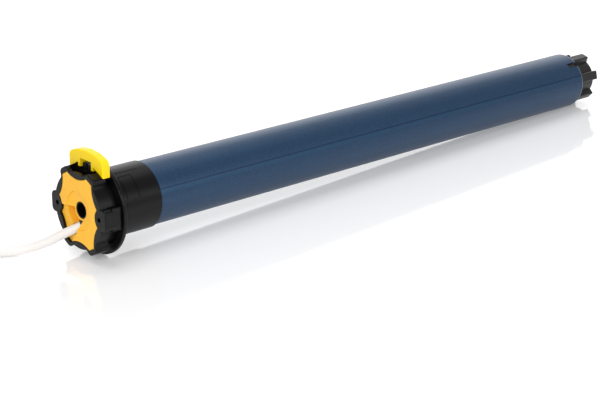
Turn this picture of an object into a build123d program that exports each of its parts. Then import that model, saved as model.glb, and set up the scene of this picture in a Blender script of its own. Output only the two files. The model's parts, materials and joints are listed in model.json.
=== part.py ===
from build123d import *
import os
from math import acos, atan2, cos, degrees, hypot, pi, radians, sin, sqrt, tan

# Tubular motor for a roller blind.
# The axis of the motor is X. The head's outer face lies at X = 0 and the drive hub is at the +X end.
# Z is up, with the limit buttons at the top of the head. The cable leaves the head towards +Y and -X.

os.makedirs("parts", exist_ok=True)

# Fits
fit_gap = 0.05          # radial gap of pieces pressed or held in one body
run_gap = 0.06          # radial gap of a running or sliding fit
air_gap = 0.4           # room between pieces that move past each other
overrun = 1.0           # how far a cut runs past the face that it opens

# Motor tube
tube_od = 45.0
tube_wall = 1.0
tube_length = 446.4
notch_width = 4.3
notch_depth = 11.0
notch_angle = 130.0     # from +Y towards +Z

# Head
head_depth = 10.2
rim_width = 2.2
screw_spacing = 48.0
screw_hole_r = 1.7
screw_hole_depth = 9.0
screw_lobe_reach = 31.0
screw_lobe_half_height = 7.4
corner_lobe_reach = 31.0
lobe_corner_r = 3.4
lobe_root = 9.0
hollow_r = 3.0
head_edge = 0.5
label_reach = 30.2
label_half_height = 7.8
label_start = 6.2
groove_r = 26.4
head_back = 13.5
slot_front = 2.5
slot_floor = 22.6
slot_half_width = 13.0
slot_back = 7.4
pocket_half_width = 9.2
pocket_floor = 26.4
cavity_r = 16.0

# Star cover: corners of its upper right quarter, then the depth of each hollow side
tip_top_y = 10.9
tip_top_z = 24.9
tip_side_y = 16.5
tip_side_z = 21.9
tip_end_y = 21.6
tip_end_z = 6.1
top_sag = 2.9
flank_sag = 1.6
end_sag = 2.6
cover_thickness = 3.0
cover_gap = 0.15
star_edge = 0.4
cup_gap = 0.6
cup_depth = 9.4
cup_wall = 1.4
central_bore_r = 6.0
bore_wall = 1.2
liner_r = 4.95           # bore of the head's central tube, inside the star's bore
liner_start = 2.9
head_floor = 1.4
floor_gap = 0.4
dish_r = 13.6
dish_depth = 2.7
dish_lip = 1.1
dish_lip_run = 0.5
channel_depth = 8.0
channel_step = 1.8
channel_top = 0.6
channel_side = 1.6
channel_mouth = 10.5

# Crown with its flange
crown_od = 46.9
flange_r = 32.9
flange_thickness = 2.7
flange_edge_r = 0.6
crown_end = 52.2
front_land_r = 20.5
front_land_end = 24.0
rear_land_r = 18.4
rear_land_start = 45.6
neck_mid_r = 18.2
groove_depth = 0.3
line_groove_width = 0.5
line_groove_start = 24.0
line_groove_end = 43.0
line_groove_angle = 109.0
panel_start = 24.6
panel_length = 10.4
panel_low_angle = 118.0
panel_high_angle = 162.0

# Neck of the head and the plug that carries the tube
neck_end = 66.0
plug_end = 70.0
wire_hole_r = 5.0

# Limit gears inside the crown
limit_module = 0.8
crown_teeth = 48
spindle_teeth = 16
limit_gear_start = 25.0
limit_gear_width = 6.0
window_half_width = 7.7
drive_module = 0.5
drive_teeth = 10
cam_teeth = 30
cam_width = 4.0
cam_pitch = 6.6
cam_start = 32.6
cam_disc_width = 1.4
cam_notch_half = 1.8
cam_notch_depth = 1.0
journal_r = 1.2
axle_r = 1.25
frame_front = 20.0
frame_plate = 2.0
frame_back = 46.4
rail_width = 2.4
rail_half_height = 4.0

# Microswitches under the cam wheels
switch_width = 5.8
switch_length = 12.8
switch_height = 6.4
lever_room = 0.5
lever_thickness = 0.5
lever_lift = 0.8
lever_width = 3.6
lever_pin_r = 0.6
ear_width = 0.8

# Terminal block behind the cable gland
terminal_start = 11.6
terminal_length = 8.0
terminal_half_width = 9.6
terminal_low = 12.4
terminal_top = 6.2
terminal_count = 4
terminal_hole_r = 1.3

# Limit buttons and the cap over them
button_r = 2.45
button_offset = 2.85
button_x = 10.4
button_top = 31.0
button_bottom = 22.6
button_edge_r = 0.5
well_floor = 17.6
spring_wire = 0.45
spring_mean_r = 1.75
spring_turns = 3
cap_front = 7.7
cap_back = 13.4
cap_top = 40.3
cap_half_width = 19.2
cap_shoulder = 36.4
cap_foot_gap = 0.35
cap_arch_half_width = 6.2
cap_arch_top = 33.7
cap_tongue_half_width = 8.6
cap_tongue_foot = 28.0
cap_flat_half_width = 9.0
cap_fall = 0.9
cap_corner_r = 5.0
cap_edge_r = 0.9

# Capacitor and its holder
capacitor_r = 14.0
plug_room = 14.0
wire_room = 19.0
capacitor_edge = 1.2
holder_rib = 4.0

# Brake
yoke_length = 20.0
yoke_floor = 3.0
yoke_bore_r = 6.6
yoke_inner_wall = 1.6
yoke_outer_wall = 3.4
brake_coil_length = 12.0
brake_spring_wire = 0.8
brake_spring_turns = 7
armature_travel = 0.5
armature_r = 15.8
armature_thickness = 4.0
armature_stub_r = 4.0
armature_stub_length = 12.0
brake_disc_r = 16.0
brake_disc_thickness = 3.0
face_gap = 0.1

# Electric motor
shaft_r = 4.0
bell_thickness = 9.0
bush_r = 7.0
winding_room = 6.0
stator_length = 110.0
stator_bore_r = 12.6
winding_length = 13.0
winding_inner_r = 13.6
winding_outer_r = 18.4
slot_count = 12
slot_width = 3.2
slot_bar_width = 3.0
rotor_r = 12.2
rotor_bars = 17
rotor_bar_depth = 0.8
rotor_bar_width = 1.0

# Planetary gearbox: three stages in one toothed ring
gear_module = 0.75
sun_teeth = 12
planet_teeth = 18
ring_teeth = 48
planet_count = 3
planet_widths = (12.0, 18.0, 26.0)
stage_names = ("first", "second", "third")
carrier_plate = 3.0
stage_gap = 0.6
planet_pin_r = 2.0
gear_backlash = 0.12
pressure_angle = 25.0
addendum_share = 0.8
dedendum_share = 1.05

# Output shaft, its bearing and the drive hub
output_r = 7.0
bearing_length = 18.0
bearing_to_hub = 2.0
gearbox_to_bearing = 27.0
hub_outside = 23.4
hub_skirt_length = 11.0
hub_skirt_gap = 0.3
hub_core_r = 15.8
hub_rib_r = 20.2
hub_rib_width = 7.4
hub_ribs = 6
hub_rib_angle = 166.0   # from +Y towards +Z, the middle of one rib
hub_rib_edge_r = 1.0
hub_edge = 1.0
hub_skirt_setback = 1.5
hub_screw_r = 5.0
hub_screw_head = 3.0
hub_screw_shank = 12.0
hub_screw_shank_r = 2.4
hub_recess_r = 9.5
hub_recess_depth = 5.0

# Cable, its gland and its put-away coil
cable_d = 6.3
gland_r = 4.0
gland_length = 4.0
tie_thickness = 0.9
tie_width = 4.0
coil_layers = 4
half_turns_a_layer = 5
coil_outer_r = 41.0
core_r = 0.9
core_bare = 8.0
core_bare_r = 0.55
core_sheath = 0.5
core_run = 12.0
upper_core_steps = ((1.2, 0.6), (1.0, 0.2), (1.0, 0.2))         # aside and up from the sheath's line
lower_core_steps = ((1.3, -1.9), (1.3, -2.0), (1.3, -2.0))
coil_lead = 31.0
bend_share = 0.45
turn_gap = 1.9
layer_gap = 0.9
tie_room = 0.3

# Places worked out from the sizes above
tube_r = tube_od / 2
tube_bore_r = tube_r - tube_wall
tube_start = crown_end + air_gap
tube_end = tube_start + tube_length
crown_r = crown_od / 2
line_groove_angle_width = degrees(line_groove_width / crown_r)
inner_r = tube_bore_r - fit_gap
hub_start = tube_end - hub_skirt_length
hub_end = tube_end + hub_outside
bearing_start = hub_start - bearing_to_hub - bearing_length
gearbox_length = sum(planet_widths) + len(planet_widths) * (carrier_plate + 2 * stage_gap) + stage_gap
motor_length = stator_length + 2 * (bell_thickness + winding_room + winding_length)
brake_length = yoke_length + armature_travel + armature_thickness + brake_disc_thickness + 3 * face_gap
drive_length = brake_length + motor_length + fit_gap + gearbox_length
brake_start = bearing_start - gearbox_to_bearing - drive_length
capacitor_start = plug_end + plug_room
capacitor_length = brake_start - wire_room - capacitor_start


def involute(angle):
    """The involute function of a pressure angle."""
    return tan(angle) - angle


def tooth_outline(teeth, module, inner_share, outer_share, backlash):
    """Points round a gear with involute flanks and one tooth centred on angle zero."""
    pitch_r = teeth * module / 2
    angle = radians(pressure_angle)
    base_r = pitch_r * cos(angle)
    half_pitch = pi / (2 * teeth) - backlash / (2 * pitch_r)
    low = pitch_r - inner_share * module
    high = pitch_r + outer_share * module
    start = max(low, base_r)
    radii = [start + (high - start) * step / 3 for step in range(4)]
    flank = [(r, half_pitch + involute(angle) - involute(acos(min(1.0, base_r / r)))) for r in radii]
    if low < base_r:
        flank.insert(0, (low, flank[0][1]))
    points = []
    for tooth in range(teeth):
        middle = 2 * pi * tooth / teeth
        sides = [(r, middle - half) for r, half in flank]
        sides += [(r, middle + half) for r, half in reversed(flank)]
        points += [(r * cos(turn), r * sin(turn)) for r, turn in sides]
    return points


def gear(start, width, teeth, module, centre=(0, 0), turn=0.0):
    """A spur gear along X with a tooth at the angle turn, in degrees."""
    with BuildSketch(Plane.YZ.offset(start)) as section:
        with BuildLine():
            Polyline(*tooth_outline(teeth, module, dedendum_share, addendum_share, gear_backlash), close=True)
        make_face()
    placed = section.sketch.rotate(Axis.X, turn).moved(Location((0, centre[0], centre[1])))
    extrude(placed, amount=width, dir=(1, 0, 0))


def toothed_bore(start, width, teeth, module):
    """The toothed bore of a ring gear, with a space at angle zero."""
    with BuildSketch(Plane.YZ.offset(start)) as section:
        with BuildLine():
            Polyline(*tooth_outline(teeth, module, addendum_share, dedendum_share, -gear_backlash),
                     close=True)
        make_face()
    extrude(section.sketch, amount=width, mode=Mode.SUBTRACT)


def bar(start, length, radius, centre=(0, 0), mode=Mode.ADD):
    """A round bar along X."""
    with BuildSketch(Plane.YZ.offset(start)) as section:
        with Locations(centre):
            Circle(radius)
    extrude(section.sketch, amount=length, mode=mode)


def ring(start, length, outer, inner, centre=(0, 0)):
    """A round tube along X."""
    with BuildSketch(Plane.YZ.offset(start)) as section:
        with Locations(centre):
            Circle(outer)
            Circle(inner, mode=Mode.SUBTRACT)
    extrude(section.sketch, amount=length)


def block(start, length, low, high, mode=Mode.ADD):
    """A box along X between two corners given in Y and Z."""
    with BuildSketch(Plane.YZ.offset(start)) as section:
        with Locations(((low[0] + high[0]) / 2, (low[1] + high[1]) / 2)):
            Rectangle(high[0] - low[0], high[1] - low[1])
    extrude(section.sketch, amount=length, mode=mode)


def sector(start, length, low, high, inner, outer, mode):
    """Part of a ring along X, between two angles in degrees."""
    with BuildSketch(Plane.YZ.offset(start)) as section:
        with BuildLine():
            outside = CenterArc((0, 0), outer, low, high - low)
            inside = CenterArc((0, 0), inner, low, high - low)
            Line(outside @ 0, inside @ 0)
            Line(outside @ 1, inside @ 1)
        make_face()
    extrude(section.sketch, amount=length, mode=mode)


def polar(radius, angle):
    """Y and Z at a radius and an angle in degrees from +Y towards +Z."""
    return radius * cos(radians(angle)), radius * sin(radians(angle))


def finish(piece, name):
    """Labels a finished piece and writes its file."""
    piece.label = name
    export_step(piece, f"parts/{name}.step")


# Star cover: truncated tips joined by hollow arcs, alike on all four quarters
flank_run = hypot(tip_end_y - tip_side_y, tip_side_z - tip_end_z)
flank_y = (tip_side_y + tip_end_y) / 2 - flank_sag * (tip_side_z - tip_end_z) / flank_run
flank_z = (tip_side_z + tip_end_z) / 2 - flank_sag * (tip_end_y - tip_side_y) / flank_run
with BuildSketch() as star_face:
    with BuildLine():
        for way in (1, -1):
            ThreePointArc((way * tip_top_y, way * tip_top_z), (0, way * (tip_top_z - top_sag)),
                          (-way * tip_top_y, way * tip_top_z))
            ThreePointArc((way * tip_end_y, -way * tip_end_z), (way * (tip_end_y - end_sag), 0),
                          (way * tip_end_y, way * tip_end_z))
            for side in (1, -1):
                Line((side * tip_top_y, way * tip_top_z), (side * tip_side_y, way * tip_side_z))
                ThreePointArc((side * tip_side_y, way * tip_side_z), (side * flank_y, way * flank_z),
                              (side * tip_end_y, way * tip_end_z))
    make_face()

# The cable's route: out of the gland, down to the floor and away to its coil
cable_route = [
    (5.0, 3.9, -12.6),
    (-5.0, 10.3, -17.3),
    (-13.5, 19.4, -24.2),
    (-24.0, 30.6, -29.9),
    (-38.5, 40.2, -31.3),
    (-56.0, 49.2, -31.4),
]
cable_start = Vector(*cable_route[0])
cable_heading = (Vector(*cable_route[1]) - cable_start).normalized()
gland_plane = Plane(origin=cable_start - cable_heading * gland_length, z_dir=cable_heading)

bore_outer_r = central_bore_r + bore_wall
cup_r = cavity_r - cup_gap
channel_reach = tip_top_z + rim_width
with BuildSketch(Plane.YZ) as channel_plan:
    with BuildLine():
        Polyline((-channel_side, channel_top), (channel_reach, channel_top), (channel_reach, -channel_reach),
                 (channel_mouth, -channel_reach), (-channel_side, -bore_outer_r), close=True)
    make_face()
    Circle(bore_outer_r, mode=Mode.SUBTRACT)
with BuildSketch(Plane.YZ) as deep_channel_plan:
    add(channel_plan.sketch_local)
    Circle(cup_r - cup_wall, mode=Mode.INTERSECT)
with BuildPart() as gland_room:
    with BuildSketch(gland_plane.offset(-cover_gap)):
        Circle(gland_r + cover_gap)
    extrude(amount=gland_length + 2 * cable_d)
with BuildPart() as star_cover:
    with BuildSketch(Plane.YZ):
        add(star_face.sketch_local)
    extrude(amount=cover_thickness)
    chamfer(star_cover.faces().sort_by(Axis.X)[0].edges(), star_edge)
    bar(0, cup_depth, cup_r)
    with BuildSketch(Plane.XZ):
        with BuildLine():
            Polyline((0, 0), (0, dish_r), (dish_lip, dish_r - dish_lip_run), (dish_depth, bore_outer_r),
                     (dish_depth, 0), close=True)
        make_face()
    revolve(axis=Axis.X, mode=Mode.SUBTRACT)
    extrude(channel_plan.sketch, amount=channel_step, mode=Mode.SUBTRACT)
    extrude(deep_channel_plan.sketch, amount=channel_depth, mode=Mode.SUBTRACT)
    bar(0, cup_depth, central_bore_r, mode=Mode.SUBTRACT)
    add(gland_room.part, mode=Mode.SUBTRACT)
finish(star_cover.part, "star_cover")

with BuildPart() as cable_gland:
    with BuildSketch(gland_plane):
        Circle(gland_r)
    extrude(amount=gland_length)
finish(cable_gland.part, "cable_gland")

# Head housing: the star's outline with a rim, corner lobes, screw lobes and a neck
tip_middle = Vector((tip_top_y + tip_side_y) / 2, (tip_top_z + tip_side_z) / 2)
tip_out = Vector(tip_top_z - tip_side_z, tip_side_y - tip_top_y).normalized()
lobe_half_width = hypot(tip_side_y - tip_top_y, tip_top_z - tip_side_z) / 2 + rim_width
lobe_out = corner_lobe_reach - tip_middle.length
lobe_middle = tip_middle + tip_out * (lobe_out - lobe_root) / 2
with BuildSketch() as head_face:
    add(star_face.sketch)
    offset(amount=rim_width, kind=Kind.ARC)
    RectangleRounded(2 * screw_lobe_reach, 2 * screw_lobe_half_height, lobe_corner_r)
    for side in (1, -1):
        for way in (1, -1):
            turn = degrees(atan2(way * tip_out.Y, side * tip_out.X))
            with Locations(Location((side * lobe_middle.X, way * lobe_middle.Y), turn)):
                RectangleRounded(lobe_out + lobe_root, 2 * lobe_half_width, lobe_corner_r)
    offset(amount=hollow_r, kind=Kind.ARC)
    offset(amount=-hollow_r, kind=Kind.ARC)
with BuildSketch() as cover_seat:
    add(star_face.sketch)
    offset(amount=cover_gap, kind=Kind.ARC)

front_land = front_land_r - run_gap
rear_land = rear_land_r - run_gap
with BuildPart() as head_housing:
    with BuildSketch(Plane.YZ):
        add(head_face.sketch_local)
    extrude(amount=head_depth)
    chamfer(head_housing.faces().sort_by(Axis.X)[0].edges(), head_edge)
    bar(0, head_back, groove_r)
    block(label_start, head_back - label_start, (-label_reach, -label_half_height),
          (label_reach, label_half_height))
    block(slot_back, head_back - slot_back, (-pocket_half_width, slot_floor),
          (pocket_half_width, pocket_floor))
    bar(head_back, front_land_end - head_back, front_land)
    bar(front_land_end, rear_land_start - front_land_end, neck_mid_r)
    bar(rear_land_start, neck_end - rear_land_start, rear_land)
    with BuildSketch(Plane.YZ):
        add(cover_seat.sketch_local)
    extrude(amount=cover_thickness, mode=Mode.SUBTRACT)
    bar(cover_thickness, neck_end, cavity_r, mode=Mode.SUBTRACT)
    for side in (1, -1):
        bar(0, screw_hole_depth, screw_hole_r, (side * screw_spacing / 2, 0), mode=Mode.SUBTRACT)
    bar(cup_depth + floor_gap, head_floor, cavity_r)
    bar(liner_start, cup_depth + floor_gap - liner_start, central_bore_r - fit_gap)
    bar(liner_start, cup_depth, liner_r, mode=Mode.SUBTRACT)
    add(gland_room.part, mode=Mode.SUBTRACT)
    block(slot_front, slot_back - slot_front, (-slot_half_width, slot_floor), (slot_half_width, cap_top),
          mode=Mode.SUBTRACT)
    block(slot_back, head_back, (-pocket_half_width, pocket_floor), (pocket_half_width, cap_top),
          mode=Mode.SUBTRACT)
    with BuildSketch(Plane.XY.offset(well_floor)):
        with Locations((button_x, button_offset), (button_x, -button_offset)):
            Circle(button_r + run_gap)
    extrude(amount=cap_top - well_floor, mode=Mode.SUBTRACT)
    block(limit_gear_start - air_gap, limit_gear_width + 2 * air_gap, (-window_half_width, 0),
          (window_half_width, crown_r), mode=Mode.SUBTRACT)
finish(head_housing.part, "head_housing")

# Crown: flange, bearing lands, the toothed band that drives the limit gears and a plain key
flange_start = head_back + air_gap
with BuildPart() as crown:
    bar(flange_start, flange_thickness, flange_r)
    fillet(crown.edges().filter_by(GeomType.CIRCLE), flange_edge_r)
    bar(flange_start, crown_end - flange_start, crown_r)
    chamfer(crown.edges().filter_by(GeomType.CIRCLE).sort_by(Axis.X)[-1], flange_edge_r)
    bar(flange_start, limit_gear_start - flange_start, front_land_r, mode=Mode.SUBTRACT)
    toothed_bore(limit_gear_start, limit_gear_width, crown_teeth, limit_module)
    bar(limit_gear_start + limit_gear_width, rear_land_start - limit_gear_start - limit_gear_width,
        front_land_r, mode=Mode.SUBTRACT)
    bar(rear_land_start, crown_end - rear_land_start, rear_land_r, mode=Mode.SUBTRACT)
    for half in (0, 180):
        with BuildSketch(Plane.YZ.offset(line_groove_start)) as line_groove:
            with Locations(Location(polar(crown_r, line_groove_angle + half), line_groove_angle + half)):
                Rectangle(2 * groove_depth, line_groove_width)
        extrude(line_groove.sketch, amount=line_groove_end - line_groove_start, mode=Mode.SUBTRACT)
        sector(panel_start, panel_length, panel_low_angle + half, panel_high_angle + half,
               crown_r - groove_depth, crown_r + overrun, Mode.SUBTRACT)
        sector(panel_start + line_groove_width, panel_length - 2 * line_groove_width,
               panel_low_angle + half + line_groove_angle_width,
               panel_high_angle + half - line_groove_angle_width, crown_r - 2 * groove_depth, crown_r, Mode.ADD)
finish(crown.part, "crown")

# Motor tube and the plug that carries it on the neck
with BuildPart() as motor_tube:
    ring(tube_start, tube_length, tube_r, tube_bore_r)
    with BuildSketch(Plane.YZ.offset(tube_end)) as notch:
        with Locations(Location(polar(tube_r, notch_angle), notch_angle)):
            Rectangle(4 * tube_wall, notch_width)
    extrude(notch.sketch, amount=-notch_depth, mode=Mode.SUBTRACT)
finish(motor_tube.part, "motor_tube")

with BuildPart() as tube_plug:
    bar(tube_start, plug_end - tube_start, inner_r)
    bar(tube_start, neck_end + fit_gap - tube_start, rear_land + fit_gap, mode=Mode.SUBTRACT)
    bar(tube_start, plug_end - tube_start, wire_hole_r, mode=Mode.SUBTRACT)
finish(tube_plug.part, "tube_plug")

# Limit unit: frame, axle, spindle, two cam wheels, microswitches and their levers
spindle_z = (crown_teeth - spindle_teeth) * limit_module / 2
cam_z = spindle_z - (drive_teeth + cam_teeth) * drive_module / 2
cam_tip_r = (cam_teeth / 2 + addendum_share) * drive_module
cam_disc_r = cam_tip_r - 2 * drive_module
frame_r = cavity_r - fit_gap
frame_end = frame_back + frame_plate
switch_top = cam_z - cam_tip_r - lever_room - lever_thickness - lever_lift
switch_bottom = switch_top - switch_height
lever_z = switch_top + lever_lift
spindle_turn = 90 * (1 - crown_teeth / spindle_teeth)
drive_turn = spindle_turn
cam_turn = 90 - (180 - (-90 - drive_turn) * drive_teeth) / cam_teeth
rail_reach = sqrt(frame_r ** 2 - rail_half_height ** 2)
floor_half_width = sqrt(frame_r ** 2 - (switch_bottom - frame_plate) ** 2)
with BuildPart() as limit_frame:
    for plate_start in (frame_front, frame_back):
        bar(plate_start, frame_plate, frame_r)
    for side in (1, -1):
        block(frame_front, frame_end - frame_front,
              (side * (rail_reach - rail_width / 2) - rail_width / 2, -rail_half_height),
              (side * (rail_reach - rail_width / 2) + rail_width / 2, rail_half_height))
    block(frame_front, frame_end - frame_front, (-floor_half_width, switch_bottom - frame_plate),
          (floor_half_width, switch_bottom - fit_gap))
    bar(frame_front, frame_end - frame_front, journal_r + run_gap, (0, spindle_z), mode=Mode.SUBTRACT)
    bar(frame_front, frame_end - frame_front, axle_r + fit_gap, (0, cam_z), mode=Mode.SUBTRACT)
finish(limit_frame.part, "limit_frame")

with BuildPart() as cam_axle:
    bar(frame_front, frame_end - frame_front, axle_r, (0, cam_z))
finish(cam_axle.part, "cam_axle")

with BuildPart() as limit_spindle:
    gear(limit_gear_start, limit_gear_width, spindle_teeth, limit_module, (0, spindle_z), spindle_turn)
    gear(limit_gear_start + limit_gear_width, frame_back - air_gap - limit_gear_start - limit_gear_width,
         drive_teeth, drive_module, (0, spindle_z), drive_turn)
    bar(frame_front, frame_end - frame_front, journal_r, (0, spindle_z))
finish(limit_spindle.part, "limit_spindle")

cam_starts = (cam_start, cam_start + cam_pitch)
for cam_place, cam_name in zip(cam_starts, ("cam_wheel_up", "cam_wheel_down")):
    with BuildPart() as cam_wheel:
        gear(cam_place, cam_width, cam_teeth, drive_module, (0, cam_z), cam_turn)
        bar(cam_place + cam_width, cam_disc_width, cam_disc_r, (0, cam_z))
        block(cam_place + cam_width, cam_disc_width, (-cam_notch_half, cam_z - cam_tip_r),
              (cam_notch_half, cam_z - cam_disc_r + cam_notch_depth), mode=Mode.SUBTRACT)
        bar(cam_place, cam_width + cam_disc_width, axle_r + run_gap, (0, cam_z), mode=Mode.SUBTRACT)
    finish(cam_wheel.part, cam_name)

pin_y = ear_width + lever_pin_r - switch_length / 2
pin_z = lever_z + lever_thickness / 2
switch_starts = [place + cam_width + cam_disc_width - switch_width for place in cam_starts]
with BuildPart() as microswitches:
    for place in switch_starts:
        block(place, switch_width, (-switch_length / 2, switch_bottom), (switch_length / 2, switch_top))
        for ear_start in (place, place + switch_width - ear_width):
            block(ear_start, ear_width, (-switch_length / 2, switch_top),
                  (pin_y + lever_pin_r + ear_width, pin_z + lever_pin_r + ear_width))
        bar(place, switch_width, lever_pin_r + run_gap, (pin_y, pin_z), mode=Mode.SUBTRACT)
finish(microswitches.part, "microswitches")

for place, lever_name in zip(switch_starts, ("switch_lever_up", "switch_lever_down")):
    blade_start = place + (switch_width - lever_width) / 2
    with BuildPart() as switch_lever:
        block(blade_start, lever_width, (pin_y, lever_z), (switch_length / 2, lever_z + lever_thickness))
        bar(place, switch_width, lever_pin_r, (pin_y, pin_z))
        block(place + switch_width - cam_disc_width + lever_thickness / 2, lever_thickness,
              (-cam_notch_half / 2, lever_z), (cam_notch_half / 2, cam_z - cam_disc_r - lever_room))
    finish(switch_lever.part, lever_name)

with BuildPart() as terminal_block:
    block(terminal_start, terminal_length, (-terminal_half_width, -terminal_low),
          (terminal_half_width, -terminal_top))
    for place in range(terminal_count):
        across = (place + 0.5) * 2 * terminal_half_width / terminal_count - terminal_half_width
        bar(terminal_start + terminal_length / 2, terminal_length / 2, terminal_hole_r,
            (across, -(terminal_low + terminal_top) / 2), mode=Mode.SUBTRACT)
finish(terminal_block.part, "terminal_block")


def biarc_path(stations):
    """One wire of arcs, two between each pair of stations (point, direction), with no kinks."""
    edges = []
    for (start, leave), (end, arrive) in zip(stations, stations[1:]):
        chord = end - start
        both = leave + arrive
        square = 2 - 2 * leave.dot(arrive)
        reach = (sqrt(chord.dot(both) ** 2 + square * chord.dot(chord)) - chord.dot(both)) / square
        first_corner = start + leave * reach
        second_corner = end - arrive * reach
        joint = (first_corner + second_corner) / 2
        for low, corner, high in ((start, first_corner, joint), (joint, second_corner, end)):
            middle = (low + high) / 2
            half = (high - low).length / 2
            rise = (corner - middle).length
            sagitta = half * tan(atan2(rise, half) / 2)
            edges.append(Edge.make_three_point_arc(low, middle + (corner - middle) * sagitta / rise, high))
    return edges


def helix_stations(origin, along, across, radius, length, turns):
    """Points and directions at each half turn of a helix."""
    side = along.cross(across)
    stations = []
    for step in range(2 * turns + 1):
        turn = pi * step
        out = across * cos(turn) + side * sin(turn)
        round_way = side * cos(turn) - across * sin(turn)
        slope = length / (2 * pi * radius * turns)
        stations.append((origin + along * (length * step / (2 * turns)) + out * radius,
                         (round_way + along * slope).normalized()))
    return stations


def swept_wire(edges, wire_r, first_direction):
    """A round wire along joined edges."""
    path = Wire(edges)
    with BuildPart() as swept:
        with BuildSketch(Plane(origin=path @ 0, z_dir=first_direction)):
            Circle(wire_r)
        sweep(path=path)
    return swept.part


# Limit buttons and their springs
spring_bottom = well_floor + spring_wire / 2 + fit_gap
spring_length = button_bottom - spring_wire / 2 - fit_gap - spring_bottom
for way, side_name in ((1, "up"), (-1, "down")):
    button_y = way * button_offset
    with BuildPart() as limit_button:
        with BuildSketch(Plane.XY.offset(button_bottom)):
            with Locations((button_x, button_y)):
                Circle(button_r)
        extrude(amount=button_top - button_bottom)
        fillet(limit_button.edges().sort_by(Axis.Z)[-1], button_edge_r)
    finish(limit_button.part, f"limit_button_{side_name}")
    stations = helix_stations(Vector(button_x, button_y, spring_bottom), Vector(0, 0, 1), Vector(1, 0, 0),
                              spring_mean_r, spring_length, spring_turns)
    finish(swept_wire(biarc_path(stations), spring_wire / 2, stations[0][1]), f"button_spring_{side_name}")

# Cap over the buttons: a saddle on the two upper corner lobes with an arch between them
lobe_face_low = tip_middle + tip_out * (lobe_out + cap_foot_gap)
foot_slope = -tip_out.X / tip_out.Y
foot_at = lambda y: lobe_face_low.Y + (y - lobe_face_low.X) * foot_slope
with BuildPart() as button_cover:
    with BuildSketch(Plane.YZ.offset(cap_front)):
        with BuildLine():
            for side in (1, -1):
                Polyline((0, cap_top), (side * cap_flat_half_width, cap_top - cap_fall),
                         (side * cap_half_width, cap_shoulder),
                         (side * cap_half_width, foot_at(cap_half_width)),
                         (side * cap_tongue_half_width, foot_at(cap_tongue_half_width)),
                         (side * cap_tongue_half_width, cap_tongue_foot),
                         (side * cap_arch_half_width, cap_tongue_foot),
                         (side * cap_arch_half_width, cap_arch_top), (0, cap_arch_top))
        make_face()
    extrude(amount=cap_back - cap_front)
    fillet(button_cover.edges().filter_by(Axis.X).filter_by(lambda e: e.center().Z > cap_shoulder - overrun
                                                           and abs(e.center().Y) > overrun), cap_corner_r)
    fillet(button_cover.faces().sort_by(Axis.X)[0].outer_wire().edges().filter_by(
        lambda e: e.center().Z > cap_arch_top + overrun), cap_edge_r)
finish(button_cover.part, "button_cover")

# Capacitor in its holder
with BuildPart() as capacitor:
    bar(capacitor_start, capacitor_length, capacitor_r)
    chamfer(capacitor.edges(), capacitor_edge)
finish(capacitor.part, "capacitor")

with BuildPart() as capacitor_holder:
    for place in (capacitor_start, capacitor_start + capacitor_length - holder_rib):
        bar(place, holder_rib, inner_r)
    block(capacitor_start, capacitor_length, (-holder_rib, -sqrt(inner_r ** 2 - holder_rib ** 2)),
          (holder_rib, 0))
    bar(capacitor_start, capacitor_length, capacitor_r + fit_gap, mode=Mode.SUBTRACT)
finish(capacitor_holder.part, "capacitor_holder")

# Brake: a yoke with its coil and spring, an armature that slides and a disc on the shaft
yoke_end = brake_start + yoke_length
coil_inner_r = yoke_bore_r + yoke_inner_wall
coil_outer_r_brake = inner_r - yoke_outer_wall
armature_start = yoke_end + armature_travel + face_gap
armature_end = armature_start + armature_thickness
disc_start = armature_end + face_gap
brake_bell_start = disc_start + brake_disc_thickness + face_gap
with BuildPart() as brake_yoke:
    bar(brake_start, yoke_length, inner_r)
    with BuildSketch(Plane.YZ.offset(yoke_end)) as coil_room:
        Circle(coil_outer_r_brake)
        Circle(coil_inner_r, mode=Mode.SUBTRACT)
    extrude(coil_room.sketch, amount=yoke_floor - yoke_length, mode=Mode.SUBTRACT)
    bar(brake_start + yoke_floor, yoke_length, yoke_bore_r, mode=Mode.SUBTRACT)
finish(brake_yoke.part, "brake_yoke")

with BuildPart() as brake_coil:
    ring(brake_start + yoke_floor + fit_gap, brake_coil_length, coil_outer_r_brake - fit_gap,
         coil_inner_r + fit_gap)
finish(brake_coil.part, "brake_coil")

with BuildPart() as brake_armature:
    bar(armature_start, armature_thickness, armature_r)
    bar(armature_start - armature_stub_length, armature_stub_length, armature_stub_r)
finish(brake_armature.part, "brake_armature")

brake_spring_r = (armature_stub_r + yoke_bore_r) / 2
brake_spring_start = brake_start + yoke_floor + brake_spring_wire / 2 + fit_gap
brake_spring_end = armature_start - armature_travel - brake_spring_wire / 2 - face_gap
stations = helix_stations(Vector(brake_spring_start, 0, 0), Vector(1, 0, 0), Vector(0, 1, 0),
                          brake_spring_r, brake_spring_end - brake_spring_start, brake_spring_turns)
finish(swept_wire(biarc_path(stations), brake_spring_wire / 2, stations[0][1]), "brake_spring")

with BuildPart() as brake_disc:
    ring(disc_start, brake_disc_thickness, brake_disc_r, shaft_r + fit_gap)
finish(brake_disc.part, "brake_disc")

# Electric motor
brake_bell_end = brake_bell_start + bell_thickness
stator_start = brake_bell_end + winding_room + winding_length
stator_end = stator_start + stator_length
gear_bell_start = stator_end + winding_length + winding_room
gear_bell_end = gear_bell_start + bell_thickness
for place, bell_name in ((brake_bell_start, "brake_end_bell"), (gear_bell_start, "gear_end_bell")):
    with BuildPart() as end_bell:
        ring(place, bell_thickness, inner_r, bush_r + fit_gap)
    finish(end_bell.part, bell_name)

with BuildPart() as shaft_bushes:
    for place in (brake_bell_start, gear_bell_start):
        ring(place, bell_thickness, bush_r, shaft_r + run_gap)
finish(shaft_bushes.part, "shaft_bushes")

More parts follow.
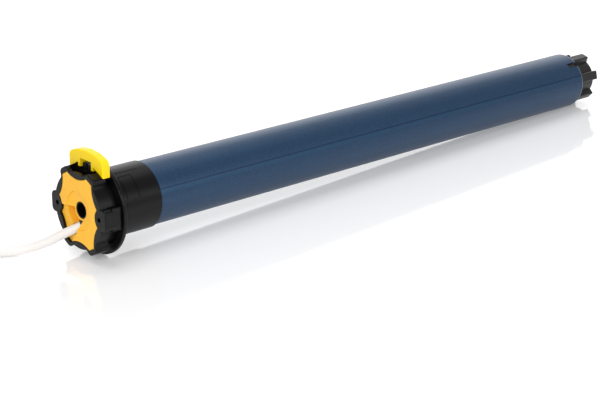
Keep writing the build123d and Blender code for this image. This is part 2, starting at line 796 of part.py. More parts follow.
with BuildPart() as stator_core:
    ring(stator_start, stator_length, inner_r, stator_bore_r)
    with BuildSketch(Plane.YZ.offset(stator_start)) as slots:
        with PolarLocations((stator_bore_r + winding_outer_r) / 2, slot_count):
            Rectangle(winding_outer_r - stator_bore_r + 2 * air_gap, slot_width)
    extrude(slots.sketch, amount=stator_length, mode=Mode.SUBTRACT)
finish(stator_core.part, "stator_core")

with BuildPart() as stator_windings:
    for place in (stator_start - winding_length, stator_end):
        ring(place, winding_length, winding_outer_r, winding_inner_r)
    with BuildSketch(Plane.YZ.offset(stator_start - winding_length / 2)) as slot_bars:
        with PolarLocations((winding_inner_r + winding_outer_r) / 2, slot_count):
            Rectangle(winding_outer_r - winding_inner_r - air_gap, slot_bar_width)
    extrude(slot_bars.sketch, amount=stator_length + winding_length)
finish(stator_windings.part, "stator_windings")

with BuildPart() as rotor_core:
    ring(stator_start, stator_length, rotor_r, shaft_r + fit_gap)
    with BuildSketch(Plane.YZ.offset(stator_start)) as rotor_slots:
        with PolarLocations(rotor_r, rotor_bars):
            Rectangle(2 * rotor_bar_depth, rotor_bar_width)
    extrude(rotor_slots.sketch, amount=stator_length, mode=Mode.SUBTRACT)
finish(rotor_core.part, "rotor_core")

# Planetary gearbox: each stage's planets turn on pins of its carrier, which drives the next sun
gearbox_start = gear_bell_end + fit_gap
planet_reach = (sun_teeth + planet_teeth) * gear_module / 2
plate_r = (ring_teeth / 2 - addendum_share) * gear_module - air_gap
sun_turn = 180 * (planet_teeth - 1) / sun_teeth
stage_starts = [gearbox_start + stage_gap]
for width in planet_widths[:-1]:
    stage_starts.append(stage_starts[-1] + width + 2 * stage_gap + carrier_plate)
plate_starts = [start + width + stage_gap for start, width in zip(stage_starts, planet_widths)]
gearbox_end = plate_starts[-1] + carrier_plate + stage_gap

with BuildPart() as ring_gear:
    bar(gearbox_start, gearbox_end - gearbox_start, inner_r)
    toothed_bore(gearbox_start, gearbox_end - gearbox_start, ring_teeth, gear_module)
finish(ring_gear.part, "ring_gear")

with BuildPart() as rotor_shaft:
    bar(disc_start, gearbox_start - disc_start, shaft_r)
    sun_width = stage_starts[0] + planet_widths[0] - gearbox_start
    gear(gearbox_start, sun_width, sun_teeth, gear_module, turn=sun_turn)
finish(rotor_shaft.part, "rotor_shaft")

for start, width, stage in zip(stage_starts, planet_widths, stage_names):
    for planet in range(planet_count):
        angle = 360 * planet / planet_count
        centre = polar(planet_reach, angle)
        with BuildPart() as planet_gear:
            gear(start, width, planet_teeth, gear_module, centre, angle * (1 - ring_teeth / planet_teeth))
            bar(start, width, planet_pin_r + run_gap, centre, mode=Mode.SUBTRACT)
        finish(planet_gear.part, f"{stage}_planet_{planet + 1}")

# Output shaft, bearing, drive hub and its screw
shaft_end = hub_end - hub_recess_depth
for stage in range(len(planet_widths)):
    plate_end = plate_starts[stage] + carrier_plate
    with BuildPart() as carrier:
        bar(plate_starts[stage], carrier_plate, plate_r)
        for planet in range(planet_count):
            bar(stage_starts[stage], plate_starts[stage] - stage_starts[stage], planet_pin_r,
                polar(planet_reach, 360 * planet / planet_count))
        if stage + 1 < len(planet_widths):
            sun_end = stage_starts[stage + 1] + planet_widths[stage + 1]
            gear(plate_end, sun_end - plate_end, sun_teeth, gear_module, turn=sun_turn)
        else:
            bar(plate_end, shaft_end - plate_end, output_r)
            bar(shaft_end - hub_screw_shank, hub_screw_shank, hub_screw_shank_r + fit_gap, mode=Mode.SUBTRACT)
    finish(carrier.part, ("first_carrier", "second_carrier", "output_carrier")[stage])

with BuildPart() as output_bearing:
    ring(bearing_start, bearing_length, inner_r, output_r + run_gap)
finish(output_bearing.part, "output_bearing")

with BuildPart() as drive_hub:
    with BuildSketch(Plane.YZ.offset(hub_start)) as hub_plan:
        Circle(hub_core_r)
        with PolarLocations((hub_rib_r + output_r) / 2, hub_ribs, start_angle=hub_rib_angle):
            RectangleRounded(hub_rib_r - output_r, hub_rib_width, hub_rib_edge_r)
    extrude(hub_plan.sketch, amount=hub_end - hub_start)
    chamfer(drive_hub.faces().sort_by(Axis.X)[-1].edges(), hub_edge)
    bar(hub_start, hub_skirt_length - hub_skirt_setback, tube_bore_r - hub_skirt_gap)
    bar(hub_start, hub_end - hub_start, output_r + fit_gap, mode=Mode.SUBTRACT)
    bar(shaft_end, hub_recess_depth, hub_recess_r, mode=Mode.SUBTRACT)
finish(drive_hub.part, "drive_hub")

with BuildPart() as hub_screw:
    bar(shaft_end, hub_screw_head, hub_screw_r)
    bar(shaft_end - hub_screw_shank, hub_screw_shank, hub_screw_shank_r)
    bar(shaft_end + hub_screw_head / 2, hub_screw_head, hub_screw_shank_r, mode=Mode.SUBTRACT)
finish(hub_screw.part, "hub_screw")


def route_radii(points):
    """Bend radius at each inner point: a share of the shorter run over the tangent of half the turn."""
    radii = []
    for before, here, after in zip(points, points[1:], points[2:]):
        arrive = Vector(*here) - Vector(*before)
        leave = Vector(*after) - Vector(*here)
        half_turn = radians(arrive.get_angle(leave)) / 2
        radii.append(bend_share * min(arrive.length, leave.length) / tan(half_turn))
    return radii


def routed_cord(points, radius):
    """A round cord along straight runs joined by arcs."""
    with BuildPart() as cord:
        with BuildLine() as path:
            FilletPolyline(*points, radius=route_radii(points))
        with BuildSketch(Plane(origin=points[0], z_dir=path.line % 0)):
            Circle(radius)
        sweep(path=path.line)
    return cord.part, sum(edge.length for edge in path.line.edges())


# Put-away coil: four layers that spiral in and out, on the plane that the motor rests on
cable_r = cable_d / 2
rest_slope = (flange_r - tube_r) / (tube_end - flange_start - flange_thickness / 2)
rest_up = Vector(-rest_slope, 0, 1).normalized()
coil_heading = Vector(*cable_route[-1]) - Vector(*cable_route[-2])
coil_heading = (coil_heading - rest_up * coil_heading.dot(rest_up)).normalized()
coil_inward = rest_up.cross(coil_heading)
coil_start = Vector(*cable_route[-1]) + coil_heading * coil_lead
coil_start = coil_start + rest_up * (
    cable_r + tie_thickness - (coil_start - Vector(flange_start, 0, -flange_r)).dot(rest_up))
coil_centre = coil_start + coil_heading * cable_d + coil_inward * coil_outer_r
turn_pitch = cable_d + turn_gap
layer_pitch = cable_d + layer_gap
half_turns = coil_layers * half_turns_a_layer
stations = []
spread = 0.0
for step in range(half_turns - 1):
    way = 1 if step % 2 == 0 else -1
    layer = min(step // half_turns_a_layer, coil_layers - 1)
    point = coil_centre - coil_inward * (way * (coil_outer_r - spread)) + rest_up * (layer * layer_pitch)
    stations.append((point, coil_heading * way))
    climbing = (step + 1) % half_turns_a_layer == 0
    if not climbing:
        spread += turn_pitch / 2 if layer % 2 == 0 else -turn_pitch / 2
coil_edges = biarc_path(stations)
coil_tail = stations[-1][0] + stations[-1][1] * cable_d
coil_edges.insert(0, Edge.make_line(coil_start, stations[0][0]))
coil_edges.append(Edge.make_line(stations[-1][0], coil_tail))
cable_coil = swept_wire(coil_edges, cable_r, coil_heading)
finish(cable_coil, "cable_coil")
coil_length = sum(edge.length for edge in coil_edges)

# The coil's least gap to itself, on points a third of a diameter apart
samples = []
sample_spacing = cable_d / 3
along = 0.0
for edge in coil_edges:
    count = int(edge.length / sample_spacing) + 1
    samples += [(along + edge.length * step / count, edge @ (step / count)) for step in range(count)]
    along += edge.length
least_gap = min((a - b).length for i, (s, a) in enumerate(samples) for t, b in samples[i + 1:]
                if t - s > 3 * cable_d) - cable_d

free_points = cable_route[:-1] + [tuple(coil_start - coil_heading * coil_lead), tuple(coil_start)]
cable_stretch, free_length = routed_cord(free_points, cable_r)
finish(cable_stretch, "cable_stretch")
print("cable bend radii", [round(radius, 1) for radius in route_radii(free_points)])
print("free stretch", round(free_length), "mm, coil", round(coil_length), "mm")
print("volume shares", round(cable_stretch.volume / (pi * cable_r ** 2 * free_length), 4),
      round(cable_coil.volume / (pi * cable_r ** 2 * coil_length), 4))
print("least gap of the coil to itself", round(least_gap, 2), "mm")

# Tie round the coil's bundle, a quarter turn from the cable's way in
coil_height = (coil_layers - 1) * layer_pitch + cable_d
bundle_width = (half_turns_a_layer - 1) * turn_pitch / 2 + cable_d
tie_middle = coil_centre + coil_heading * (coil_outer_r + cable_r - bundle_width / 2)
tie_middle = tie_middle + rest_up * (coil_height / 2 - cable_r)
with BuildPart() as coil_tie:
    tie_plane = Plane(origin=tie_middle - coil_inward * tie_width / 2, x_dir=coil_heading, z_dir=coil_inward)
    with BuildSketch(tie_plane):
        Rectangle(bundle_width + 2 * tie_thickness + 2 * tie_room, coil_height + 2 * tie_thickness)
        Rectangle(bundle_width + 2 * tie_room, coil_height, mode=Mode.SUBTRACT)
    extrude(amount=tie_width)
finish(coil_tie.part, "coil_tie")

# Bare end: four cores that leave the sheath and lie on the coil, each with a stripped tip
tail_r = (stations[-1][0] - coil_centre - rest_up * (coil_layers - 1) * layer_pitch).length
core_ring = (cable_r - core_r - core_sheath) / sqrt(2)
core_names = ("core_brown", "core_blue", "core_black", "core_earth")
core_places = ((1, upper_core_steps), (-1, upper_core_steps), (-1, lower_core_steps), (1, lower_core_steps))
with BuildPart() as core_tips:
    for core_name, (hand, steps) in zip(core_names, core_places):
        rise = core_ring if steps is upper_core_steps else -core_ring
        points = [coil_tail - coil_inward * hand * core_ring + rest_up * rise + coil_heading * air_gap]
        for step, (aside, height) in enumerate(steps):
            turn = (cable_d + (step + 1) * core_run) / tail_r
            outward = coil_heading * sin(turn) - coil_inward * cos(turn)
            points.append(coil_centre + outward * (tail_r + hand * aside)
                          + rest_up * ((coil_layers - 1) * layer_pitch + height))
        finish(routed_cord([tuple(point) for point in points], core_r)[0], core_name)
        tip_plane = Plane(origin=points[-1], z_dir=points[-1] - points[-2])
        add(Solid.make_cylinder(core_bare_r, core_bare, tip_plane))
finish(core_tips.part, "core_tips")
print("pieces", len(os.listdir("parts")))
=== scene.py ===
# %% [markdown]
# # A tubular motor for a roller blind
# The motor lies on a pale table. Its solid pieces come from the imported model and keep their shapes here.
# This lesson gives them a camera, a cable, light and finishes. It starts by loading the model as a frame.

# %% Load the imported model
import bpy
import json
import numpy as np
from mathutils import Matrix, Vector


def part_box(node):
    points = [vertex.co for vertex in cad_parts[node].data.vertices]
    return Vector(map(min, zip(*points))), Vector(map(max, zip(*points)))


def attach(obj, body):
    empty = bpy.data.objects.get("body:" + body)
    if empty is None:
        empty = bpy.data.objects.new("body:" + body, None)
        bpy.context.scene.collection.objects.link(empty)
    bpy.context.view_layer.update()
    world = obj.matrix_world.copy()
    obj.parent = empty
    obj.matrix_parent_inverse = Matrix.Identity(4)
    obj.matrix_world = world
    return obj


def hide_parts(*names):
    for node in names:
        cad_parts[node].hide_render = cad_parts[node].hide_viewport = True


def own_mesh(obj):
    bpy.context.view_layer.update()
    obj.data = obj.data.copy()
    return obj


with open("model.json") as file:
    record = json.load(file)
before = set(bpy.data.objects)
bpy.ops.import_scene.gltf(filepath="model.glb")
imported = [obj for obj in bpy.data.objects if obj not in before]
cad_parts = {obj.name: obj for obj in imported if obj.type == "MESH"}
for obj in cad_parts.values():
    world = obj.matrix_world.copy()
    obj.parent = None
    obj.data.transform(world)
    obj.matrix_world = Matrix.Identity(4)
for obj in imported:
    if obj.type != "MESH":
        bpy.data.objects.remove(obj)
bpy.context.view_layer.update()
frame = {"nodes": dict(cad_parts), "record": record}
nodes = frame["nodes"]

# %% [markdown]
# ## Camera
# The photograph looks along the motor from the head's side, a little from above, through a long lens.
# A camera needs a place and three directions: to the right, up, and back towards the viewer.
# They are written as the columns of its matrix, which says exactly where it looks.

# %% Camera
camera_lens = 94.8
camera_place = Vector((-0.5463, -0.8278, 0.3512))
forward = Vector((0.6305, 0.7023, -0.3304)).normalized()
camera_data = bpy.data.cameras.new("camera")
camera_data.lens = camera_lens
camera = bpy.data.objects.new("camera", camera_data)
bpy.context.scene.collection.objects.link(camera)
right = forward.cross(Vector((0, 0, 1))).normalized()
up = right.cross(forward)
view_matrix = Matrix((right, up, -forward)).transposed().to_4x4()
view_matrix.translation = camera_place
camera.matrix_world = view_matrix
bpy.context.scene.camera = camera
bpy.context.scene.view_settings.view_transform = "Standard"
print("camera", camera_lens, "mm lens at", [round(v, 3) for v in camera_place])

# %% [markdown]
# ## Cable
# The white cable leaves the head through the amber star, dips to the table and runs away to the left.
# The rest of its two metres is put away in a neat coil, where the camera does not see it.
# A NURBS curve suits it, because the curve stays smooth between a few well placed points.
# The coil is the same curve: each turn has 24 points on a ring that slowly changes its radius,
# and every few turns the ring climbs by one layer.

# %% Sizes, the cable's route and the plane that it lies on
mm = 0.001
tube_r = 22.5 * mm
tube_end = 499.0 * mm
flange_r = 32.9 * mm
flange_x = 13.9 * mm
flange_half_thickness = 1.35 * mm
cable_d = 6.3 * mm
route = np.array([(5.0, 3.9, -12.6), (-5.0, 10.3, -17.3), (-13.5, 19.4, -24.2),
                  (-24.0, 30.6, -29.9), (-38.5, 40.2, -31.3)]) * mm
last_route_point = np.array((-56.0, 49.2, -31.4)) * mm
flange_foot = np.array((flange_x, 0.0, -flange_r))
rest_slope = (flange_r - tube_r) / (tube_end - flange_x - flange_half_thickness)
table_up = np.array((-rest_slope, 0.0, 1.0)) / np.hypot(rest_slope, 1.0)
heading = last_route_point - route[-1]
heading -= table_up * (heading @ table_up)
heading /= np.linalg.norm(heading)
inward = np.cross(table_up, heading)
print("the table rises", round(float(np.degrees(np.arctan(rest_slope))), 2), "degrees towards the hub")


# %% The coil's points
def coil_points(centre, outer_r, pitch, layer_pitch, layers, half_turns, per_turn):
    """Points of a coil wound in layers.

    At u half turns the angle is pi times u. The radius shrinks by half a pitch in each half turn of the even
    layers and grows again in the odd ones. The height is the layer number times the layer pitch, and it
    changes smoothly within the half turn that joins two layers, where the radius keeps still.
    """
    u = np.linspace(0.0, layers * half_turns - 2.0, int((layers * half_turns - 2) * per_turn / 2) + 1)
    stations = np.arange(layers * half_turns)
    step = stations % half_turns
    layer = stations // half_turns
    spread = np.where(layer % 2 == 0, step, half_turns - 1 - step) * pitch / 2
    radius = (outer_r - np.interp(u, stations, spread)) * 2 / (1 + np.cos(np.pi / per_turn) ** 2)
    climb = np.interp(u, stations, layer)
    part = climb - np.floor(climb)
    height = (np.floor(climb) + part * part * (3 - 2 * part)) * layer_pitch
    angle = np.pi * u
    return (centre + np.outer(-np.cos(angle) * radius, inward) + np.outer(np.sin(angle) * radius, heading)
            + np.outer(height, table_up))


coil_lead = 31.0 * mm
coil_r = 41.0 * mm
turn_gap = 1.9 * mm
layer_gap = 0.9 * mm
coil_start = last_route_point + heading * coil_lead
coil_start += table_up * (cable_d / 2 + layer_gap - (coil_start - flange_foot) @ table_up)
coil_centre = coil_start + heading * cable_d + inward * coil_r
turns = coil_points(coil_centre, coil_r, cable_d + turn_gap, cable_d + layer_gap, layers=4, half_turns=5,
                    per_turn=24)
tail = turns[-1] + heading * cable_d
cable_points = np.vstack([route, coil_start - heading * coil_lead, coil_start, turns, tail])
print("cable points:", len(cable_points))


# %% The cable as one NURBS curve
def nurbs_tube(name, points, diameter):
    """A round tube on one open spline of order three, so the curve is smooth between its points.

    The tube's radius is the radius of the points times the depth of the bevel, which is one here.
    """
    curve = bpy.data.curves.new(name, "CURVE")
    curve.dimensions = "3D"
    spline = curve.splines.new("NURBS")
    spline.points.add(len(points) - 1)
    spline.points.foreach_set("co", np.column_stack([points, np.ones(len(points))]).ravel())
    spline.points.foreach_set("radius", [diameter / 2] * len(points))
    spline.order_u = 3
    spline.use_endpoint_u = True
    spline.resolution_u = 6
    curve.bevel_depth = 1.0
    curve.bevel_resolution = 5
    curve.use_fill_caps = True
    piece = bpy.data.objects.new(name, curve)
    bpy.context.scene.collection.objects.link(piece)
    return piece


cable = nurbs_tube("cable", cable_points, cable_d)
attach(cable, "base")
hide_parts("cable_stretch", "cable_coil")
print("cable diameter", cable_d * 1000, "mm")

# %% [markdown]
# ## Table and light
# The photograph is a studio shot on a glossy white table: the floor is nearly pure white, with a faint
# mirror image and a soft shadow under the head. A lit backdrop behind the far end makes the table shine white
# towards the camera, all but where it mirrors the motor, and it draws the pale rim along the tube's top. One
# wide lamp hangs above. Two lower ones at the camera's side fill the star and the tube's flank.

# %% Table
table_half_width = 6.0
table_clearance = 0.05 * mm
table_mesh = bpy.data.meshes.new("table")
corners = np.array([(-1, -1), (1, -1), (1, 1), (-1, 1)]) * table_half_width
middle = flange_foot - table_up * table_clearance
table_points = [(x, y, middle[2] + rest_slope * (x - middle[0])) for x, y in corners]
table_mesh.from_pydata(table_points, [], [(0, 1, 2, 3)])
table = bpy.data.objects.new("table", table_mesh)
bpy.context.scene.collection.objects.link(table)
print("table", 2 * table_half_width, "m across")


# %% Lamps and sky
def soft_lamp(name, place, target, size, power, colour=(1, 1, 1)):
    """A flat lamp that looks from its place towards the target."""
    data = bpy.data.lights.new(name, "AREA")
    data.shape = "RECTANGLE"
    data.size, data.size_y = size
    data.energy = power
    data.color = colour
    lamp = bpy.data.objects.new(name, data)
    lamp.location = place
    lamp.rotation_euler = (Vector(target) - Vector(place)).to_track_quat("-Z", "Y").to_euler()
    bpy.context.scene.collection.objects.link(lamp)
    return lamp


soft_lamp("lamp_above", (0.25, 0.35, 2.2), (0.25, 0.1, 0.0), (2.4, 1.5), 23)
soft_lamp("backdrop", (1.6, 1.55, 0.85), (0.2, 0.0, 0.05), (3.4, 1.5), 21)
soft_lamp("lamp_front", (-0.9, -0.7, 0.7), (0.0, 0.0, 0.0), (0.6, 0.6), 9)
soft_lamp("lamp_side", (0.5, -1.4, 0.5), (0.25, 0.0, 0.0), (0.9, 0.5), 5)
sky = bpy.data.worlds.new("sky")
sky.use_nodes = True
sky.node_tree.nodes["Background"].inputs["Color"].default_value = (1.0, 1.0, 1.0, 1.0)
sky.node_tree.nodes["Background"].inputs["Strength"].default_value = 0.42
bpy.context.scene.world = sky

# %% [markdown]
# ## Shared effects
# Moulded plastic, paint and metal differ in a few small things: a fine grain that breaks up the gloss,
# slow changes of tone, and in a metallic paint tiny bright flakes. Each is a node group with its own
# inputs, so that every finish can use it with its own numbers.


# %% A helper for node groups
def effect_group(name, inputs, outputs):
    """An empty node group with float inputs (name, default) and named outputs (name, kind)."""
    group = bpy.data.node_groups.new(name, "ShaderNodeTree")
    for label, value in inputs:
        socket = group.interface.new_socket(name=label, in_out="INPUT", socket_type="NodeSocketFloat")
        socket.default_value = value
    for label, kind in outputs:
        group.interface.new_socket(name=label, in_out="OUTPUT", socket_type=kind)
    group.nodes.new("NodeGroupInput").name = "in"
    group.nodes.new("NodeGroupOutput").name = "out"
    return group


def mix_colours(tree, factor, first, second):
    """The first colour, which is an output or a tuple, mixed with a share of the second, a tuple."""
    node = tree.nodes.new("ShaderNodeMix")
    node.data_type = "RGBA"
    tree.links.new(factor, node.inputs["Factor"])
    if hasattr(first, "is_output"):
        tree.links.new(first, node.inputs["A"])
    else:
        node.inputs["A"].default_value = (*first, 1.0)
    node.inputs["B"].default_value = (*second, 1.0)
    return node.outputs["Result"]


def place_math(tree, operation, first, second=None, third=None):
    """A math node, with each input a socket to link or a number."""
    node = tree.nodes.new("ShaderNodeMath")
    node.operation = operation
    for socket, value in zip(node.inputs, (first, second, third)):
        if hasattr(value, "is_output"):
            tree.links.new(value, socket)
        elif value is not None:
            socket.default_value = value
    return node.outputs[0]


print("helpers ready")

# %% Grain: a fine noise for bump, and a slow one for tone
grain = effect_group("moulded_grain", [("Fine Scale", 900.0), ("Slow Scale", 40.0)],
                     [("Fine", "NodeSocketFloat"), ("Slow", "NodeSocketFloat")])
place = grain.nodes.new("ShaderNodeTexCoord").outputs["Object"]
for output, source in (("Fine", "Fine Scale"), ("Slow", "Slow Scale")):
    noise = grain.nodes.new("ShaderNodeTexNoise")
    noise.inputs["Detail"].default_value = 3.0
    grain.links.new(place, noise.inputs["Vector"])
    grain.links.new(grain.nodes["in"].outputs[source], noise.inputs["Scale"])
    grain.links.new(noise.outputs["Fac"], grain.nodes["out"].inputs[output])
print("group", grain.name, "with", len(grain.nodes), "nodes")

# %% Flakes: bright specks in a metallic paint
flakes = effect_group("paint_flakes", [("Scale", 1500.0), ("Share", 0.2)], [("Flakes", "NodeSocketFloat")])
cells = flakes.nodes.new("ShaderNodeTexVoronoi")
flakes.links.new(flakes.nodes.new("ShaderNodeTexCoord").outputs["Object"], cells.inputs["Vector"])
flakes.links.new(flakes.nodes["in"].outputs["Scale"], cells.inputs["Scale"])
split = flakes.nodes.new("ShaderNodeSeparateColor")
flakes.links.new(cells.outputs["Color"], split.inputs["Color"])
speck = place_math(flakes, "LESS_THAN", split.outputs[0], flakes.nodes["in"].outputs["Share"])
speck_brightness = place_math(flakes, "MULTIPLY", speck, split.outputs[1])
flakes.links.new(speck_brightness, flakes.nodes["out"].inputs["Flakes"])
print("group", flakes.name, "with", len(flakes.nodes), "nodes")


# %% [markdown]
# ## Finishes
# One function makes a finish from a colour, a second tone for the slow variation, and the strength of its
# grain. Uniform numbers, such as metallic or coat, go straight onto the shader's own sockets.


# %% A moulded or machined finish
def surface(name, colour, tone=0.85, rough=0.4, metallic=0.0, bump=0.1, fine=900.0, slow=40.0, coat=0.0,
            rough_spread=0.08, specular=0.5):
    """A finish: the slow noise fades the colour to a darker tone, the fine one makes roughness and relief."""
    material = bpy.data.materials.new(name)
    material.use_nodes = True
    tree = material.node_tree
    shader = tree.nodes["Principled BSDF"]
    shader.inputs["Metallic"].default_value = metallic
    shader.inputs["Coat Weight"].default_value = coat
    shader.inputs["Coat Roughness"].default_value = 0.12
    shader.inputs["Specular IOR Level"].default_value = specular
    group = tree.nodes.new("ShaderNodeGroup")
    group.node_tree = grain
    group.inputs["Fine Scale"].default_value = fine
    group.inputs["Slow Scale"].default_value = slow
    toned = mix_colours(tree, group.outputs["Slow"], colour, [c * tone for c in colour])
    tree.links.new(toned, shader.inputs["Base Color"])
    spread = place_math(tree, "MULTIPLY_ADD", group.outputs["Fine"], rough_spread, rough - rough_spread / 2)
    tree.links.new(spread, shader.inputs["Roughness"])
    relief = tree.nodes.new("ShaderNodeBump")
    relief.inputs["Strength"].default_value = bump
    relief.inputs["Distance"].default_value = 0.0002
    tree.links.new(group.outputs["Fine"], relief.inputs["Height"])
    tree.links.new(relief.outputs["Normal"], shader.inputs["Normal"])
    return material


finishes = {
    "black_plastic": surface("satin_black", (0.0025, 0.0025, 0.003), 0.7, 0.34, bump=0.12, fine=700.0,
                             specular=0.2),
    # The hub's greyer base colour is painted light: a lighter copy of the black for the strong light on the
    # hub.
    "hub_plastic": surface("hub_black_with_painted_light", (0.010, 0.009, 0.008), 0.7, 0.42, bump=0.15, fine=700.0,
                           specular=0.5),
    "amber_plastic": surface("amber", (1.0, 0.53, 0.035), 0.93, 0.45, bump=0.05, slow=60.0, specular=0.3),
    "yellow_plastic": surface("bright_yellow", (1.0, 0.70, 0.0), 0.97, 0.42, bump=0.05, specular=0.3),
    "white_cable": surface("cable_white", (0.84, 0.82, 0.80), 0.97, 0.5, bump=0.05, slow=90.0),
    "grey_rubber": surface("soft_grey", (0.05, 0.05, 0.05), 0.8, 0.7),
    "white_nylon": surface("nylon", (0.78, 0.77, 0.72), 0.95, 0.45),
    "steel": surface("turned_steel", (0.55, 0.55, 0.57), 0.85, 0.3, metallic=1.0, fine=1500.0),
    "spring_steel": surface("spring_wire", (0.42, 0.42, 0.44), 0.8, 0.28, metallic=1.0, fine=2500.0),
    "laminations": surface("stacked_sheet", (0.22, 0.22, 0.25), 0.7, 0.5, metallic=1.0, fine=1200.0),
    "copper": surface("varnished_copper", (0.62, 0.22, 0.08), 0.8, 0.3, metallic=0.9, fine=1800.0, coat=0.4),
    "bronze": surface("sintered_bronze", (0.50, 0.33, 0.14), 0.75, 0.5, metallic=1.0, fine=2200.0, bump=0.3),
    "aluminium": surface("cast_aluminium", (0.66, 0.66, 0.68), 0.85, 0.45, metallic=1.0, bump=0.35),
    "core_brown": surface("core_brown", (0.16, 0.06, 0.02), 0.9, 0.4),
    "core_blue": surface("core_blue", (0.02, 0.10, 0.42), 0.9, 0.4),
    "core_black": surface("core_black", (0.01, 0.01, 0.01), 0.9, 0.4),
    "core_earth": surface("core_green", (0.10, 0.40, 0.04), 0.9, 0.4),
    "brake_lining": surface("brake_lining", (0.09, 0.07, 0.05), 0.6, 0.85, bump=0.6),
    "capacitor_case": surface("capacitor_case", (0.72, 0.72, 0.69), 0.93, 0.4),
}
print("finishes:", ", ".join(sorted(finishes)))

# %% [markdown]
# The tube's dark blue paint is the largest surface in the picture. It is a metallic paint: fine bright
# flakes in a deep blue, under a thin clear coat. A thin dark line runs along the rolled tube's seam; it is
# partly the seam and partly a painted reflection of a dark gap. The slightly lighter band below it is a
# painted reflection, and the narrow pale rim at the far end is a painted highlight. All are masks worked out
# from the place on the tube, in the object's own coordinates, so they stay put in every view.

# %% The tube's paint
seam_angle = np.radians(22.0)
seam_half_width = 0.45 * mm
reflection_band_width = 3.2 * mm
rim_highlight_width = 0.5 * mm
paint = surface("navy_paint", (0.012, 0.046, 0.106), 0.85, 0.40, metallic=0.3, bump=0.03, fine=2500.0,
                coat=0.1, specular=0.35)
tree = paint.node_tree
shader = tree.nodes["Principled BSDF"]
place = tree.nodes.new("ShaderNodeTexCoord").outputs["Object"]
axes = tree.nodes.new("ShaderNodeSeparateXYZ")
tree.links.new(place, axes.inputs[0])
speckle = tree.nodes.new("ShaderNodeGroup")
speckle.node_tree = flakes
speckle.inputs["Scale"].default_value = 3500.0
speckle.inputs["Share"].default_value = 0.25
flake_share = place_math(tree, "MULTIPLY", speckle.outputs["Flakes"], 0.3)
painted = mix_colours(tree, flake_share, shader.inputs["Base Color"].links[0].from_socket, (0.09, 0.16, 0.28))
seam_z = place_math(tree, "SUBTRACT", axes.outputs["Z"], float(tube_r * np.sin(seam_angle)))
near_seam = place_math(tree, "LESS_THAN", place_math(tree, "ABSOLUTE", seam_z), seam_half_width)
front = place_math(tree, "LESS_THAN", axes.outputs["Y"], 0.0)
# The lighter band below the seam, on the camera's side, is a painted reflection.
below = place_math(tree, "MULTIPLY", place_math(tree, "LESS_THAN", seam_z, 0.0),
                   place_math(tree, "GREATER_THAN", seam_z, -reflection_band_width))
reflection_band = place_math(tree, "MULTIPLY", place_math(tree, "MULTIPLY", below, front), 0.12)
painted = mix_colours(tree, reflection_band, painted, (0.020, 0.110, 0.210))
# The thin dark line at the seam is partly the seam and partly a painted dark reflection.
seam = place_math(tree, "MULTIPLY", place_math(tree, "MULTIPLY", near_seam, front), 0.9)
painted = mix_colours(tree, seam, painted, (0.002, 0.022, 0.07))
# The pale grey rim at the tube's far end is a painted highlight.
rim_highlight = place_math(tree, "GREATER_THAN", axes.outputs["X"], tube_end - rim_highlight_width)
painted = mix_colours(tree, place_math(tree, "MULTIPLY", rim_highlight, 0.6), painted, (0.35, 0.38, 0.42))
tree.links.new(painted, shader.inputs["Base Color"])
finishes["navy_tube"] = paint
print("paint nodes:", len(tree.nodes))

# %% [markdown]
# The table is a stage, not a piece. It is white and glossy, so it gives a faint mirror image. Like the
# translucent tables of photo studios it is weakly lit from below, which keeps the shadows pale.

# %% The table's finish
table_finish = surface("white_table", (0.80, 0.80, 0.81), 0.99, 0.08, bump=0.0, fine=50.0, slow=3.0,
                       rough_spread=0.02, specular=1.0)
table_shader = table_finish.node_tree.nodes["Principled BSDF"]
table_shader.inputs["Emission Color"].default_value = (1.0, 1.0, 1.0, 1.0)
table_shader.inputs["Emission Strength"].default_value = 0.21
table.data.materials.append(table_finish)
print("table finish:", table_finish.name)

# %% [markdown]
# ## Give every piece its finish
# The record names a slot for each piece of the model. Each slot has its finish here. The drive hub is a
# black plastic too, but a duller one, and its greyer base colour is painted light for the strong light on it.

# %% Put the finishes on
slots = {entry["node"]: entry["material_slot"] for entry in frame["record"]["subparts"]}
own_finishes = {"drive_hub": "hub_plastic"}
for name, piece in nodes.items():
    finish = finishes[own_finishes.get(name, slots[name])]
    if not piece.material_slots:
        piece.data.materials.append(finish)
    for index in range(len(piece.material_slots)):
        piece.material_slots[index].material = finish
cable.data.materials.append(finishes["white_cable"])
print("pieces with a finish:", len(nodes) + 1)

# %% [markdown]
# ## Button springs
# Under each limit button sits a small steel spring, hidden by the cap. It has to shorten when its button goes
# down. Each one is built here as a helix of round wire at its full height, fixed to the base.


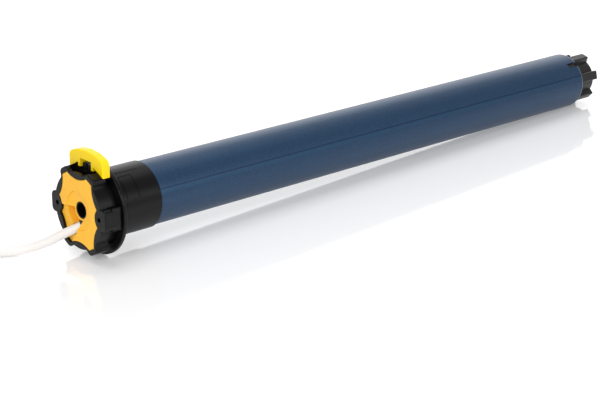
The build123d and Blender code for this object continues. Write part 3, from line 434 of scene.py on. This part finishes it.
# %% A helical spring
def helical_spring(name, node, wire, turns, per_turn=32, around=10):
    """A closed tube of round wire along the helix (r cos t, r sin t, rise t), inside the node's box.

    At the angle a round the wire a point lies at the helix plus the wire's radius times
    (cos a outward + sin a across), where across is the cross product of the helix's direction and outward.
    """
    low, high = np.array(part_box(node))
    middle = (low + high) / 2
    helix_r = (high[0] - low[0] - wire) / 2
    t = np.linspace(0.0, 2 * np.pi * turns, turns * per_turn + 1)
    rise = (high[2] - low[2] - wire) / t[-1]
    flat = np.zeros(len(t))
    outward = np.stack([np.cos(t), np.sin(t), flat], axis=-1)
    direction = np.stack([-helix_r * np.sin(t), helix_r * np.cos(t), flat + rise], axis=-1)
    direction /= np.linalg.norm(direction, axis=-1)[:, None]
    across = np.cross(direction, outward)
    line = outward * helix_r + np.outer(t, (0, 0, rise)) + (middle[0], middle[1], low[2] + wire / 2)
    a = np.linspace(0.0, 2 * np.pi, around, endpoint=False)[None, :, None]
    points = line[:, None] + (np.cos(a) * outward[:, None] + np.sin(a) * across[:, None]) * wire / 2
    ring = np.arange(around)
    after = (ring + 1) % around
    rows = np.arange(len(t) - 1)[:, None] * around
    quads = np.stack([rows + ring, rows + after, rows + around + after, rows + around + ring], axis=-1)
    ends = [ring[::-1].tolist(), (ring + (len(t) - 1) * around).tolist()]
    mesh = bpy.data.meshes.new(name)
    mesh.from_pydata(points.reshape(-1, 3).tolist(), [], quads.reshape(-1, 4).tolist() + ends)
    mesh.shade_smooth()
    piece = bpy.data.objects.new(name, mesh)
    bpy.context.scene.collection.objects.link(piece)
    return piece


spring_wire = 0.45 * mm
spring_turns = 3
for hand in ("up", "down"):
    node = f"button_spring_{hand}"
    spring = helical_spring(f"spring_{hand}", node, spring_wire, spring_turns)
    spring.data.materials.append(finishes["spring_steel"])
    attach(spring, "base")
    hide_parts(node)
    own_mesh(spring)
    print(spring.name, len(spring.data.polygons), "faces")

# %% [markdown]
# ## Side panels
# Each side of the head carries a flat panel with a slightly raised, softly rounded face. Here they are left
# bare. A plate like this is a surface over a rounded rectangle: one parameter runs round its outline, and
# the other from the middle outwards, where the height falls off steeply just before the edge.


# %% A crowned plate
def crowned_plate(name, middle, half_x, half_z, thickness, side, rings=10, around=96):
    """A closed plate on a wall that faces along Y.

    The outline is a superellipse of the sixth power: |x / half_x| ^ 6 + |z / half_z| ^ 6 = 1. At the share s
    of the way out, the height over the wall is the thickness times (1 - s ^ 10). The last ring goes into the
    wall by one thickness and its middle closes the back.
    """
    share = np.concatenate([np.linspace(0.0, 1.0, rings + 1)[1:] ** 0.6, [1.0]])
    angle = np.linspace(0.0, 2 * np.pi, around, endpoint=False)
    reach = (np.abs(np.cos(angle) / half_x) ** 6 + np.abs(np.sin(angle) / half_z) ** 6) ** (-1 / 6)
    x = middle[0] + np.outer(share, reach * np.cos(angle))
    z = middle[2] + np.outer(share, reach * np.sin(angle))
    height = thickness * (1 - share ** 10)
    height[-1] = -thickness
    y = middle[1] + side * np.outer(height, np.ones(around))
    points = np.vstack([np.stack([x, y, z], axis=-1).reshape(-1, 3),
                        [(middle[0], middle[1] + side * thickness, middle[2]),
                         (middle[0], middle[1] - side * thickness, middle[2])]])
    ring = np.arange(around)
    after = (ring + 1) % around
    rows = np.arange(rings)[:, None] * around
    quads = np.stack([rows + ring, rows + around + ring, rows + around + after, rows + after], axis=-1)
    front = np.stack([np.full(around, len(points) - 2), ring, after], axis=-1)
    back = np.stack([np.full(around, len(points) - 1), rings * around + after, rings * around + ring],
                    axis=-1)
    order = 1 if side > 0 else -1
    faces = [face[::order] for group in (quads.reshape(-1, 4), front, back) for face in group.tolist()]
    mesh = bpy.data.meshes.new(name)
    mesh.from_pydata(points.tolist(), [], faces)
    mesh.shade_smooth()
    piece = bpy.data.objects.new(name, mesh)
    bpy.context.scene.collection.objects.link(piece)
    return piece


panel_x = 9.9 * mm
head_side = 30.2 * mm
panel_half_length = 3.2 * mm
panel_half_height = 7.0 * mm
panel_thickness = 0.25 * mm
panel_finish = surface("side_panel", (0.006, 0.006, 0.007), 0.8, 0.55, bump=0.3, fine=1500.0, specular=0.3)
for side, name in ((-1, "side_panel_front"), (1, "side_panel_back")):
    panel = crowned_plate(name, (panel_x, side * head_side, 0.0), panel_half_length, panel_half_height,
                          panel_thickness, side)
    panel.data.materials.append(panel_finish)
    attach(panel, "base")
    print(name, len(panel.data.polygons), "faces")

# %% [markdown]
# ## Update the scene
# The view layer is brought up to date, so every added piece has its place.

# %% Update the view layer
bpy.context.view_layer.update()
